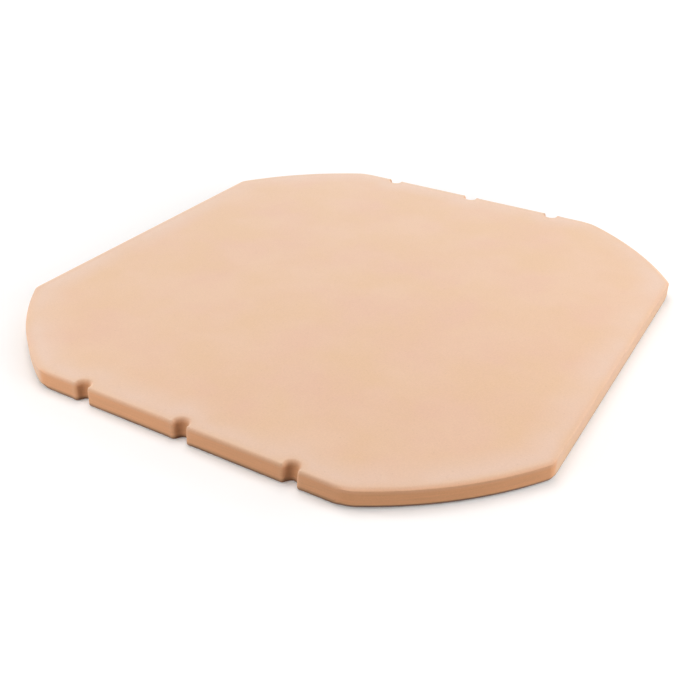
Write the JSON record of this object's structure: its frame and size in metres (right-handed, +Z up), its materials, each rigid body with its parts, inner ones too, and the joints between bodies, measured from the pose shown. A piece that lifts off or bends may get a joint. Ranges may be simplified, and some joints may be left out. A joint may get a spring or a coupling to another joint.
{
  "type": "pizza stone",
  "caption": "Flat fired-ceramic baking slab with a near-square plan, crowned corner cuts, rounded rims and half-round locating notches in two opposite sides, for baking on stored heat.",
  "frame": {"origin": "centre of the underside, on the surface that the slab lies on", "axes": "+Z up through the thickness, +X along the notched sides, +Y from the front notched side to the back"},
  "size_m": [0.363, 0.38, 0.012],
  "materials": {
    "fired_cordierite": "matte"
  },
  "bodies": {
    "root": {"stone_slab": "fired_cordierite"}
  },
  "joints": []
}
